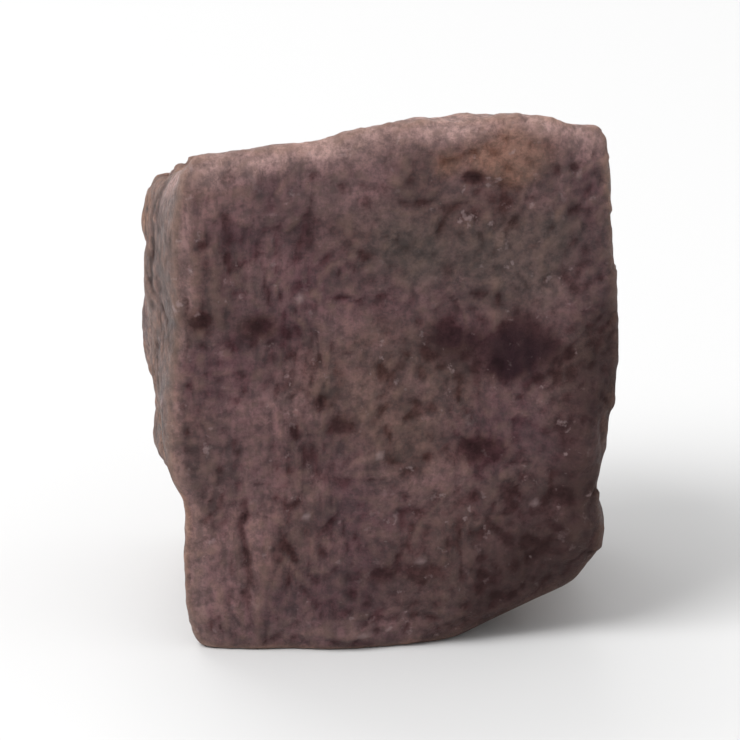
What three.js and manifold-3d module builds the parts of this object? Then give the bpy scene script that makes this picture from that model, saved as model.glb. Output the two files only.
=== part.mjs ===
// One air-dried venison cube, modelled at its real size in millimetres, +Z up.
// The knife-cut front faces -Y, the fat fleck is on its top edge, and the muscle fibres run upright.
// It lies on its underside, with the origin at the middle of its footprint on the table plane.

import * as THREE from "three";
import { ImprovedNoise } from "three/addons/math/ImprovedNoise.js";
import { mergeVertices } from "three/addons/utils/BufferGeometryUtils.js";
import Module from "manifold-3d";

// Driving sizes of the piece as cut, before its faces pull in
const WIDTH = 20.0;
const DEPTH = 19.4;
const HEIGHT = 23.4;
const EDGE_RADIUS = 2.2;
const SQUARES_PER_SIDE = 31;
const EDGE_BLEND = 7;

// How far drying drew each corner from the cut block's: right, back and up
const CORNER_SHIFT = {
  leftFrontLow: [-0.3, 0.9, 0.0],
  rightFrontLow: [-1.2, 0.9, 0.0],
  leftBackLow: [1.6, -1.3, 0.0],
  rightBackLow: [-1.8, -1.2, 0.0],
  leftFrontHigh: [-0.2, 0.0, 1.1],
  rightFrontHigh: [0.2, 0.3, 1.6],
  leftBackHigh: [-0.4, -1.5, -4.6],
  rightBackHigh: [-1.4, -0.5, -4.6],
};

// The hollow or swell in the middle of each face, outwards positive
const FACE_SWELL = { left: 0.1, right: 0.2, front: 0.4, back: 0.3, low: 0.1, high: 0.1 };

// The front's edges are crisper than the rounding, its left one most, and the others are worn in patches
const EDGES = { frontFill: 0.5, leftFill: 0.9, wear: 0.9, evenShare: 0.4, patchy: 0.9, wavelength: 5.0 };

// The upright ridge on the front, left of its middle, strongest at the foot
const FRONT_RIDGE = { x: -2.0, halfWidth: 7.0, height: 0.8 };

// The top edge stands a little higher from here to the right
const TOP_STEP = { fromX: -5.6, toX: -2.2, rise: 0.8 };

// The lower right edge is drawn up off the table, from further left at the front than at the back
const UNDERCUT = { fromX: -0.2, toX: 13.5, skew: 0.24, rise: 3.6, reach: 9.0 };

// The upper part of the left face stands proud, down to a ragged step that is lower towards the back
const LEDGE = { height: 5.5, drop: 0.22, proud: 1.5, blend: 0.5, raggedness: 0.5, tooth: 3.1 };

// Broad relief: lumps all over, and folds where the outside of the muscle shrank
const LUMPS = { wavelength: 9.0, height: 0.55, fineShare: 0.45 };
const LUMP_SHARE = { left: 0.35, right: 0.9, front: 0.45, back: 1.0, low: 0.2, high: 0.9 };
const FOLDS = { wavelength: 9.0, depth: 1.9, warp: 1.5, warpShare: 0.6, sharpness: 2.1 };
const FOLD_SHARE = { left: 0.25, right: 0.8, front: 0.05, back: 1.0, low: 0.0, high: 0.7 };

// Bundles of muscle fibre stand upright with gaps between them: columns at the sides, cells on top
const BUNDLES = { spacing: 3.7, stretch: 6.0, lean: 0.12, wander: 0.9, bends: [6, 6, 14] };
const BUNDLE_GAPS = { width: 1.6, depth: 1.1 };
const BUNDLE_SHARE = { left: 0.45, right: 0.8, front: 0.2, back: 1.0, low: 0.1, high: 0.7 };

// Ribs along the fibres, and their cut ends
const RIBS = { across: 2.1, along: 15.0, height: 0.26 };
const FIBRE_ENDS = { wavelength: 2.5, height: 0.3, lowShare: 0.3 };

// Dents and raised flecks on the cut face and the top edge, each by its place, radius and height
const SPOTS = [
  { name: "fat fleck", at: [4.4, -8.6, 22.2], radius: 2.7, height: 0.35 },
  { name: "pit under the fleck", at: [3.6, -9.4, 19.6], radius: 1.4, height: -0.7 },
  { name: "upper left dent", at: [-5.6, -9.4, 14.2], radius: 1.7, height: -0.35 },
  { name: "middle dent", at: [-2.6, -10.2, 9.6], radius: 1.7, height: -0.35 },
  { name: "low dent", at: [1.8, -10.2, 4.4], radius: 2.0, height: -0.35 },
  { name: "right lobe", at: [6.6, -9.0, 8.8], radius: 4.2, height: 0.5 },
  { name: "right edge swell", at: [9.6, -8.0, 11.5], radius: 8.0, height: 0.7 },
  { name: "right foot swell", at: [9.0, -8.2, 3.6], radius: 4.6, height: 0.9 },
  { name: "foot lip", at: [-2.4, -10.4, 0.8], radius: 2.2, height: 0.45 },
  { name: "top edge left swell", at: [-4.4, -8.0, 21.8], radius: 3.4, height: 0.8 },
  { name: "top edge middle swell", at: [-0.8, -7.6, 22.6], radius: 3.6, height: 0.5 },
  { name: "top back dent", at: [-1.6, 4.2, 20.6], radius: 3.6, height: -0.6 },
  { name: "top left dent", at: [-6.0, -1.2, 20.8], radius: 4.2, height: -0.8 },
  { name: "top middle dent", at: [-2.0, -3.0, 21.4], radius: 3.4, height: -0.6 },
  { name: "left top nub", at: [-6.6, -7.0, 21.2], radius: 1.9, height: 0.3 },
  { name: "worn top corner", at: [9.8, -8.6, 22.8], radius: 2.6, height: -0.6 },
];

// Deep cracks between bundles on the hidden sides: a point, the way each opens, and its size
const CRACKS = [
  { at: [9.6, 1.0, 12.0], across: [0.1, 0.86, 0.5], length: 8.0, halfWidth: 1.5, depth: 1.5 },
  { at: [1.5, 9.0, 9.0], across: [0.9, 0.1, -0.42], length: 8.5, halfWidth: 1.5, depth: 1.7 },
  { at: [-4.0, 8.6, 14.5], across: [0.3, 0.1, 0.95], length: 6.5, halfWidth: 1.4, depth: 1.3 },
  { at: [3.0, 2.5, 20.0], across: [0.55, 0.83, 0.0], length: 7.0, halfWidth: 1.4, depth: 1.2 },
];

const CRACK_WANDER = [{ wavelength: 4.2, reach: 1.1 }, { wavelength: 1.9, reach: 0.5 }];

// Where each kind of relief starts in the noise
const SEEDS = {
  lumps: 3, fineLumps: 7, folds: 5, foldWarp: [16, 28, 42], bundleBend: [71, 83], ribs: 4, fibreEnds: 9,
  ledge: 5, edges: 29, cracks: [61, 67],
};

const COLOUR = 0x5c4642;
const ROUGHNESS = 0.72;
const RELAXING = { passes: 3, share: 0.35 };

// No fold or crack goes deeper than this, inside the faces and at their edges
const DEEPEST = { inside: 1.9, atEdges: 1.1 };
const TABLE = { side: 60, thickness: 20, bite: 0.8 };

const perlin = new ImprovedNoise();
const { smoothstep } = THREE.MathUtils;

// Smooth noise from about -1 to 1 at a point, with bumps of about the given size along each axis.
function noise(point, wavelengths, seed) {
  return perlin.noise(
    point.x / wavelengths[0] + seed,
    point.y / wavelengths[1] + 2.7 * seed,
    point.z / wavelengths[2] - 1.3 * seed,
  );
}

function evenNoise(point, wavelength, seed) {
  return noise(point, [wavelength, wavelength, wavelength], seed);
}

// Noise with rounded valleys, 0 on the crests and 1 at the bottom of a fold.
function valleys(point) {
  const push = SEEDS.foldWarp.map((seed) => evenNoise(point, FOLDS.warpShare * FOLDS.wavelength, seed));
  const warped = new THREE.Vector3(...push).multiplyScalar(FOLDS.warp).add(point);
  const level = FOLDS.sharpness * evenNoise(warped, FOLDS.wavelength, SEEDS.folds);
  return Math.exp(-4 * level * level);
}

// A steady number from 0 to 1 for each whole-numbered cell and each use of it.
function cellDraw(i, j, k, use) {
  const mixed = Math.sin(127.1 * i + 311.7 * j + 74.7 * k + 41.3 * use) * 43758.5453;
  return mixed - Math.floor(mixed);
}

function around(value) {
  const cell = Math.floor(value);
  return [cell - 1, cell, cell + 1];
}

// How near a point is to the gap between two muscle bundles: 1 in the gap, 0 inside a bundle.
function bundleGap(place) {
  const [bendX, bendY] = SEEDS.bundleBend.map((seed) => BUNDLES.wander * noise(place, BUNDLES.bends, seed));
  const x = (place.x + BUNDLES.lean * place.z + bendX) / BUNDLES.spacing;
  const y = (place.y + bendY) / BUNDLES.spacing;
  const z = place.z / (BUNDLES.spacing * BUNDLES.stretch);
  const middles = [];
  for (const i of around(x)) {
    for (const j of around(y)) {
      for (const k of around(z)) {
        const middle = [i + cellDraw(i, j, k, 0), j + cellDraw(i, j, k, 1), k + cellDraw(i, j, k, 2)];
        middles.push(Math.hypot(middle[0] - x, middle[1] - y, middle[2] - z));
      }
    }
  }
  const [nearest, second] = middles.sort((a, b) => a - b);
  const fromGap = (second - nearest) * BUNDLES.spacing / BUNDLE_GAPS.width;
  return Math.exp(-2 * fromGap * fromGap);
}

// How much a point of the unit cube belongs to each face. The shares add up to 1 and blend over the edges.
function faceShares(unit) {
  const sides = { left: -unit.x, right: unit.x, front: -unit.y, back: unit.y, low: -unit.z, high: unit.z };
  const weights = Object.entries(sides).map(([face, side]) => [face, Math.max(0, side) ** EDGE_BLEND]);
  const total = weights.reduce((sum, [, weight]) => sum + weight, 0);
  return Object.fromEntries(weights.map(([face, weight]) => [face, weight / total]));
}

function weigh(shares, values) {
  return Object.keys(values).reduce((sum, face) => sum + shares[face] * values[face], 0);
}

// The unit cube's point as a place on the cut block with rounded edges, and its outward direction.
function onBlock(unit) {
  const half = new THREE.Vector3(WIDTH, DEPTH, HEIGHT).multiplyScalar(0.5);
  const core = half.clone().subScalar(EDGE_RADIUS);
  const flat = unit.clone().multiply(half);
  const inner = flat.clone().clamp(core.clone().negate(), core);
  const out = flat.sub(inner).normalize();
  return { place: inner.addScaledVector(out, EDGE_RADIUS), out };
}

// The corners' shifts, blended over the block.
function cornerShift(unit) {
  const shift = new THREE.Vector3();
  for (const [name, [right, back, up]] of Object.entries(CORNER_SHIFT)) {
    const share =
      (name.startsWith("right") ? 1 + unit.x : 1 - unit.x) *
      (name.includes("Back") ? 1 + unit.y : 1 - unit.y) *
      (name.endsWith("High") ? 1 + unit.z : 1 - unit.z);
    shift.addScaledVector(new THREE.Vector3(right, back, up), share / 8);
  }
  return shift;
}

// The swell of the faces, nothing at their edges.
function swell(unit, shares) {
  const [x, y, z] = [unit.x, unit.y, unit.z].map((side) => 1 - side * side);
  const open = (shares.left + shares.right) * y * z + (shares.front + shares.back) * x * z;
  const flat = (shares.low + shares.high) * x * y;
  return (open + flat) * weigh(shares, FACE_SWELL);
}

// How near a point is to an edge: 0 inside a face, 1 where two faces meet.
function edgeShare(shares) {
  return Math.min(1, 2 * (1 - Math.max(...Object.values(shares))));
}

// How far an edge stands out from its rounding, nothing inside the faces.
function edges(place, shares) {
  const frontness = Math.min(1, 2 * shares.front);
  const patches = EDGES.patchy * evenNoise(place, EDGES.wavelength, SEEDS.edges);
  const worn = EDGES.wear * Math.max(0, EDGES.evenShare + patches);
  const leftness = Math.min(1, 2 * shares.left);
  const fill = EDGES.frontFill + (EDGES.leftFill - EDGES.frontFill) * leftness;
  return edgeShare(shares) * (fill * frontness - worn * (1 - frontness));
}

function frontRidge(place, shares) {
  const off = (place.x - FRONT_RIDGE.x) / FRONT_RIDGE.halfWidth;
  const fade = 1 - smoothstep(place.z, 0, 0.9 * HEIGHT);
  return shares.front * FRONT_RIDGE.height * Math.max(0, 1 - off * off) * fade;
}

function ledge(place, shares) {
  const ragged = LEDGE.raggedness * evenNoise(place, LEDGE.tooth, SEEDS.ledge);
  const foot = LEDGE.height - LEDGE.drop * place.y + ragged;
  return shares.left * LEDGE.proud * smoothstep(place.z, foot, foot + LEDGE.blend);
}

function spots(place) {
  let height = 0;
  for (const spot of SPOTS) {
    const off = place.distanceTo(new THREE.Vector3(...spot.at)) / spot.radius;
    height += spot.height * Math.max(0, 1 - off * off) ** 2;
  }
  return height;
}

function cracks(place) {
  const wander = CRACK_WANDER.reduce(
    (sum, { wavelength, reach }, i) => sum + reach * evenNoise(place, wavelength, SEEDS.cracks[i]), 0,
  );
  let depth = 0;
  for (const crack of CRACKS) {
    const from = place.clone().sub(new THREE.Vector3(...crack.at));
    const across = new THREE.Vector3(...crack.across).normalize();
    const off = (from.dot(across) + wander) / crack.halfWidth;
    const along = from.length() / crack.length;
    depth += crack.depth * Math.exp(-off * off) * Math.max(0, 1 - along * along);
  }
  return depth;
}

// How far the surface stands out from the drawn-in block at a place.
function relief(place, unit) {
  const shares = faceShares(unit);
  const sides = 1 - shares.low - shares.high;
  const fine = LUMPS.fineShare * evenNoise(place, LUMPS.fineShare * LUMPS.wavelength, SEEDS.fineLumps);
  const broad = evenNoise(place, LUMPS.wavelength, SEEDS.lumps);
  const lumps = LUMPS.height * weigh(shares, LUMP_SHARE) * (broad + fine);
  const folds = FOLDS.depth * weigh(shares, FOLD_SHARE) * valleys(place);
  const gaps = BUNDLE_GAPS.depth * weigh(shares, BUNDLE_SHARE) * bundleGap(place);
  const ribs = RIBS.height * sides * noise(place, [RIBS.across, RIBS.across, RIBS.along], SEEDS.ribs);
  const cut = shares.high + FIBRE_ENDS.lowShare * shares.low;
  const ends = FIBRE_ENDS.height * cut * evenNoise(place, FIBRE_ENDS.wavelength, SEEDS.fibreEnds);
  const height = swell(unit, shares) + frontRidge(place, shares) + ledge(place, shares) +
    lumps - folds - gaps + ribs + ends + edges(place, shares) + spots(place) - cracks(place);
  const deepest = DEEPEST.inside + (DEEPEST.atEdges - DEEPEST.inside) * edgeShare(shares);
  return Math.max(height, deepest * Math.tanh(height / deepest));
}

// Draws each point towards the mean of its neighbours, so that folds end softly.
function relax(surface) {
  const points = surface.getAttribute("position");
  const index = surface.index.array;
  const neighbours = Array.from({ length: points.count }, () => new Set());
  for (let i = 0; i < index.length; i += 3) {
    const [a, b, c] = index.slice(i, i + 3);
    neighbours[a].add(b).add(c);
    neighbours[b].add(c).add(a);
    neighbours[c].add(a).add(b);
  }
  for (let pass = 0; pass < RELAXING.passes; pass++) {
    const before = neighbours.map((_, i) => new THREE.Vector3().fromBufferAttribute(points, i));
    neighbours.forEach((others, i) => {
      const mean = new THREE.Vector3();
      others.forEach((other) => mean.addScaledVector(before[other], 1 / others.size));
      const place = before[i].clone().lerp(mean, RELAXING.share);
      points.setXYZ(i, place.x, place.y, place.z);
    });
  }
}

// Turns each square's diagonal to the shorter way across, so that folds keep smooth edges.
function turnDiagonals(surface) {
  const points = surface.getAttribute("position");
  const corner = (i) => new THREE.Vector3().fromBufferAttribute(points, i);
  const index = surface.index.array;
  for (let i = 0; i < index.length; i += 6) {
    const [a, b, d, , c] = index.slice(i, i + 6);
    if (corner(a).distanceTo(corner(c)) < corner(b).distanceTo(corner(d))) {
      index.set([a, b, c, a, c, d], i);
    }
  }
}

// The dried piece's surface, still reaching a little below the table plane.
function driedBlock() {
  const box = new THREE.BoxGeometry(2, 2, 2, SQUARES_PER_SIDE, SQUARES_PER_SIDE, SQUARES_PER_SIDE);
  box.deleteAttribute("normal");
  box.deleteAttribute("uv");
  const surface = mergeVertices(box, 1e-4);
  const points = surface.getAttribute("position");
  const unit = new THREE.Vector3();
  for (let i = 0; i < points.count; i++) {
    unit.fromBufferAttribute(points, i);
    const { place, out } = onBlock(unit);
    place.add(cornerShift(unit));
    place.z += HEIGHT / 2 - TABLE.bite;
    place.addScaledVector(out, relief(place, unit));
    const upwards = smoothstep(place.z, 0.5 * HEIGHT, HEIGHT);
    const towardsRight = smoothstep(place.x - UNDERCUT.skew * place.y, UNDERCUT.fromX, UNDERCUT.toX);
    const fromFoot = 1 - smoothstep(place.z, 0, UNDERCUT.reach);
    place.z += TOP_STEP.rise * upwards * smoothstep(place.x, TOP_STEP.fromX, TOP_STEP.toX);
    place.z += UNDERCUT.rise * towardsRight * fromFoot;
    points.setXYZ(i, place.x, place.y, place.z);
  }
  relax(surface);
  turnDiagonals(surface);
  return surface;
}

const wasm = await Module();
wasm.setup();

function solidOf(geometry) {
  const mesh = new wasm.Mesh({
    numProp: 3,
    vertProperties: geometry.getAttribute("position").array,
    triVerts: new Uint32Array(geometry.index.array),
  });
  return new wasm.Manifold(mesh);
}

function geometryOf(solid) {
  const mesh = solid.getMesh();
  const geometry = new THREE.BufferGeometry();
  geometry.setAttribute("position", new THREE.BufferAttribute(mesh.vertProperties, 3));
  geometry.setIndex(new THREE.BufferAttribute(mesh.triVerts, 1));
  return geometry;
}

// The table, as a block whose top is the plane that the piece lies on.
function table() {
  const block = new THREE.BoxGeometry(TABLE.side, TABLE.side, TABLE.thickness);
  block.translate(0, 0, -TABLE.thickness / 2);
  block.deleteAttribute("normal");
  block.deleteAttribute("uv");
  return mergeVertices(block, 1e-4);
}

// The piece, pressed flat where it lies on the table, with its footprint's middle at the origin.
function venisonCube() {
  const geometry = geometryOf(solidOf(driedBlock()).subtract(solidOf(table())));
  geometry.computeBoundingBox();
  const middle = geometry.boundingBox.getCenter(new THREE.Vector3());
  geometry.translate(-middle.x, -middle.y, 0);
  geometry.computeVertexNormals();
  const material = new THREE.MeshStandardMaterial({ color: COLOUR, roughness: ROUGHNESS, metalness: 0 });
  const mesh = new THREE.Mesh(geometry, material);
  mesh.name = "venison_cube";
  return mesh;
}

const part = new THREE.Group();
part.add(venisonCube());

export default part;
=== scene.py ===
"""One air-dried venison cube in a plain, pale studio.

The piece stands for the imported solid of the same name. Its surface is remeshed finely from that
solid, then gets the relief of dried muscle: deeper folds, upright fibres, wrinkles, low ledges and
pits. Sizes in the classes are in millimetres unless they say otherwise.
"""

import logging
import math
from dataclasses import dataclass, field
from enum import Enum

import bmesh
import bpy
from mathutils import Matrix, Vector, noise


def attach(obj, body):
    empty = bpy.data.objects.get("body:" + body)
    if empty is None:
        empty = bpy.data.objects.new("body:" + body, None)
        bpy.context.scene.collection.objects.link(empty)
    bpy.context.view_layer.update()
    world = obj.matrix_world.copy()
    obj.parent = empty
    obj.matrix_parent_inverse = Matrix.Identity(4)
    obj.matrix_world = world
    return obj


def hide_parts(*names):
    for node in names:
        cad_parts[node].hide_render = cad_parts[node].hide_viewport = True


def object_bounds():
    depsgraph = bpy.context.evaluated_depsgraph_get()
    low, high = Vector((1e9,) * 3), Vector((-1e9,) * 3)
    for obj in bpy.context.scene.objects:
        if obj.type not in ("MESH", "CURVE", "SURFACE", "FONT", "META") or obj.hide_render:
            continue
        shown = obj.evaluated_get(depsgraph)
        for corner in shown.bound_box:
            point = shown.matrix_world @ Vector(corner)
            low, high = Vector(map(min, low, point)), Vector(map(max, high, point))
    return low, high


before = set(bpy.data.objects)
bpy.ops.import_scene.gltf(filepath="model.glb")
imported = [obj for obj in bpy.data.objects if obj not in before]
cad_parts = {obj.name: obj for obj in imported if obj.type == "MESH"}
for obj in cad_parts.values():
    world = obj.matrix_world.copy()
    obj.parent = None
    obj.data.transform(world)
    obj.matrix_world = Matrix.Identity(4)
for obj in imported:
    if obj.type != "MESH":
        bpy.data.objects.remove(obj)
cad_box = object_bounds()

log = logging.getLogger("venison_cube")
MM = 0.001

# The Mix node's colour sockets, which share their names with its other kinds
COLOUR_BELOW, COLOUR_ABOVE, COLOUR_MIXED = 6, 7, 2

# What stretches the library's noise to about -1 to 1, and what gives each cell its own draw
NOISE_GAIN = 1.6
CELL_SHUFFLE = 7.31

# How strong the finer noises in the finish are, where nothing else is said
FINE_SHARE = 0.55

Rgb = tuple[int, int, int]
Socket = bpy.types.NodeSocket


class Side(Enum):
    """The six sides of the block, by the way each faces."""

    LEFT = (-1.0, 0.0, 0.0)
    RIGHT = (1.0, 0.0, 0.0)
    FRONT = (0.0, -1.0, 0.0)
    BACK = (0.0, 1.0, 0.0)
    LOW = (0.0, 0.0, -1.0)
    HIGH = (0.0, 0.0, 1.0)


class Pattern(Enum):
    """The kinds of relief that a layer can have."""

    GROOVES = "lines between grown cells"
    WAVES = "smooth swells"
    STEPS = "low plateaus with short slopes"
    PORES = "scattered small holes"


class Mark(Enum):
    """The named values that the surface carries for its finish."""

    # Painted shade in the creases.
    CREASE = "crease"
    # Painted highlight on the crests.
    CREST_HIGHLIGHT = "crest"
    # Painted shade in the broad hollows.
    HOLLOW_SHADE = "hollow"
    CUT = "cut"
    FIBRE = "fibre"
    # Painted highlight along the front's top and left edges.
    RIM_HIGHLIGHT = "rim_highlight"
    SKIN = "skin"
    FAT = "fat"
    SMUDGE = "smudge"
    GREY = "grey"
    PINK = "pink"
    BROWN = "brown"
    # Painted shade along the front's right edge and over its lower part.
    PAINTED_SHADE = "shade"
    # Painted shade in and around the front's pits.
    PIT_SHADE = "pit_shade"
    # Pale flecks painted as glints.
    GLINT_SPECK = "glint_speck"


def scaled(place: Vector, size: tuple[float, float, float]) -> Vector:
    """The point, measured along each axis in the pattern's own sizes."""
    return Vector((place.x / size[0], place.y / size[1], place.z / size[2]))


def wave(place: Vector, size: tuple[float, float, float], seed: float) -> float:
    """Smooth noise, with bumps of the given size along each axis.

    Args:
        place: The point, in millimetres.
        size: How long the bumps are along each axis.
        seed: Which pattern of noise it is.

    Returns:
        The noise, from about -1 to 1.
    """
    shift = Vector((seed, -2.3 * seed, 1.7 * seed))
    return NOISE_GAIN * noise.noise(scaled(place, size) + shift)


def groove(place: Vector, size: tuple[float, float, float], width: float, seed: float) -> float:
    """The groove between grown cells.

    Args:
        place: The point, in millimetres.
        size: How far apart the cells' middles are along each axis.
        width: The groove's width as a share of a cell.
        seed: Which pattern of cells it is.

    Returns:
        1 on the line between two cells, falling to 0 inside them.
    """
    shift = Vector((seed, 3.1 * seed, -1.9 * seed))
    distances = noise.voronoi(scaled(place, size) + shift)[0]
    off = (distances[1] - distances[0]) / width
    return math.exp(-off * off)


def pores(place: Vector, size: tuple[float, float, float], radius: float, seed: float) -> float:
    """Scattered small holes, drawn out along the fibres, some deeper and wider than others.

    Args:
        place: The point, in millimetres.
        size: How far apart the cells' middles are along each axis.
        radius: A hole's usual radius as a share of a cell.
        seed: Which pattern of holes it is.

    Returns:
        Up to 1 in the middle of a hole, and 0 between them.
    """
    shift = Vector((seed, 1.3 * seed, -0.7 * seed))
    distances, middles = noise.voronoi(scaled(place, size) + shift)
    chosen = ease(noise.cell(middles[0] * CELL_SHUFFLE), -0.1, 0.9)
    off = distances[0] / (radius * (0.4 + chosen))
    return chosen * max(0.0, 1.0 - off * off)


def patches(place: Vector, wavelength: float, seed: float, bare: float) -> float:
    """Where something shows, in patches with soft edges.

    Args:
        place: The point, in millimetres.
        wavelength: How large the patches are.
        seed: Which pattern of patches it is.
        bare: What is left between the patches.

    Returns:
        1 in the patches, down to bare between them.
    """
    return bare + (1.0 - bare) * ease(0.9 * wave(place, (wavelength,) * 3, seed), -0.5, 0.5)


def ease(value: float, start: float, end: float) -> float:
    """A smooth step.

    Args:
        value: Where along the step it is.
        start: Where the step begins.
        end: Where it is done.

    Returns:
        0 before the start, 1 after the end, and smooth between them.
    """
    share = min(1.0, max(0.0, (value - start) / (end - start)))
    return share * share * (3.0 - 2.0 * share)


@dataclass(frozen=True)
class Spread:
    """How strongly each side shows one kind of relief, from 0 to 1."""

    left: float = 1.0
    right: float = 1.0
    front: float = 1.0
    back: float = 1.0
    low: float = 0.0
    high: float = 1.0

    def at(self, shares: dict[Side, float]) -> float:
        """How strongly the relief shows at a point.

        Args:
            shares: How much the point belongs to each side.

        Returns:
            The strength, from 0 to 1.
        """
        strengths = (self.left, self.right, self.front, self.back, self.low, self.high)
        return sum(share * strength for share, strength in zip(shares.values(), strengths))


@dataclass(frozen=True)
class Ribs:
    """How strongly the front's fibres show: fully on its left third, and less to the right of it."""

    full_to: float = -4.5
    faint_from: float = 1.0

    def at(self, x: float, faint_share: float) -> float:
        """The strength at a place on the front, from 1 down to the faint share."""
        return 1.0 - (1.0 - faint_share) * ease(x, self.full_to, self.faint_from)


RIBS = Ribs()


@dataclass(frozen=True)
class Warp:
    """Smooth noise that moves points about, so that the patterns on them look grown."""

    wavelength: float
    reach: float
    seed: float

    def at(self, place: Vector) -> Vector:
        """Where a point is moved to.

        Args:
            place: The point, in millimetres.

        Returns:
            The moved point.
        """
        size = (self.wavelength,) * 3
        seeds = (self.seed, self.seed + 5.2, self.seed + 9.7)
        return place + self.reach * Vector([wave(place, size, seed) for seed in seeds])


@dataclass(frozen=True)
class Spot:
    """An oval place on the front, seen squarely, for a pit, a bump, a coloured patch or painted shade.
    """

    x: float
    z: float
    half_width: float
    half_height: float
    strength: float = 1.0

    def at(self, x: float, z: float) -> float:
        """The strength at a point: all of it in the spot's middle, none beyond its edge."""
        off = ((x - self.x) / self.half_width) ** 2 + ((z - self.z) / self.half_height) ** 2
        return self.strength * max(0.0, 1.0 - off) ** 2


@dataclass(frozen=True)
class Stroke:
    """A narrow groove or ridge on the front, along a line."""

    start: tuple[float, float]
    end: tuple[float, float]
    half_width: float
    strength: float

    def at(self, x: float, z: float) -> float:
        """The stroke's strength at a point.

        Args:
            x: How far right of the middle the point is.
            z: How high it is.

        Returns:
            The strength, greatest half way along the stroke.
        """
        run, rise = self.end[0] - self.start[0], self.end[1] - self.start[1]
        along = ((x - self.start[0]) * run + (z - self.start[1]) * rise) / (run * run + rise * rise)
        along = min(1.0, max(0.0, along))
        away = math.hypot(x - self.start[0] - along * run, z - self.start[1] - along * rise)
        off = away / self.half_width
        taper = 1.0 - (2.0 * along - 1.0) ** 4
        return self.strength * taper * math.exp(-off * off)


@dataclass(frozen=True)
class Layer:
    """One layer of relief.

    Its width is a groove's or a slope's width or a pore's radius, as a share of the pattern.
    Between its patches it goes down to the bare share, and right of the front's ribbed third it
    keeps only the given share. A crumpled layer follows the points that are moved about more.
    """

    pattern: Pattern
    size: tuple[float, float, float]
    height: float
    spread: Spread
    seed: float
    width: float = 0.3
    patch: float = 4.5
    bare: float = 0.3
    crumpled: bool = False
    right_of_ribs: float = 1.0

    def shape(self, place: Vector) -> float:
        """The pattern at a point.

        Args:
            place: The point, already moved about.

        Returns:
            The height, before the layer's own height scales it.
        """
        match self.pattern:
            case Pattern.GROOVES:
                return groove(place, self.size, self.width, self.seed)
            case Pattern.WAVES:
                return wave(place, self.size, self.seed)
            case Pattern.STEPS:
                level = wave(place, self.size, self.seed)
                return ease(level, -0.3 * self.width, 0.7 * self.width) - 0.5
            case Pattern.PORES:
                return pores(place, self.size, self.width, self.seed)

    def at(self, grown: Vector, crumpled: Vector, shares: dict[Side, float]) -> float:
        """The layer's height at a point.

        Args:
            grown: The point, moved about gently.
            crumpled: The point, moved about more.
            shares: How much it belongs to each side.

        Returns:
            The height outwards.
        """
        strength = self.spread.at(shares) * patches(grown, self.patch, self.seed + 40.0, self.bare)
        strength *= 1.0 - shares[Side.FRONT] * (1.0 - RIBS.at(grown.x, self.right_of_ribs))
        return self.height * strength * self.shape(crumpled if self.crumpled else grown)


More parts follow.
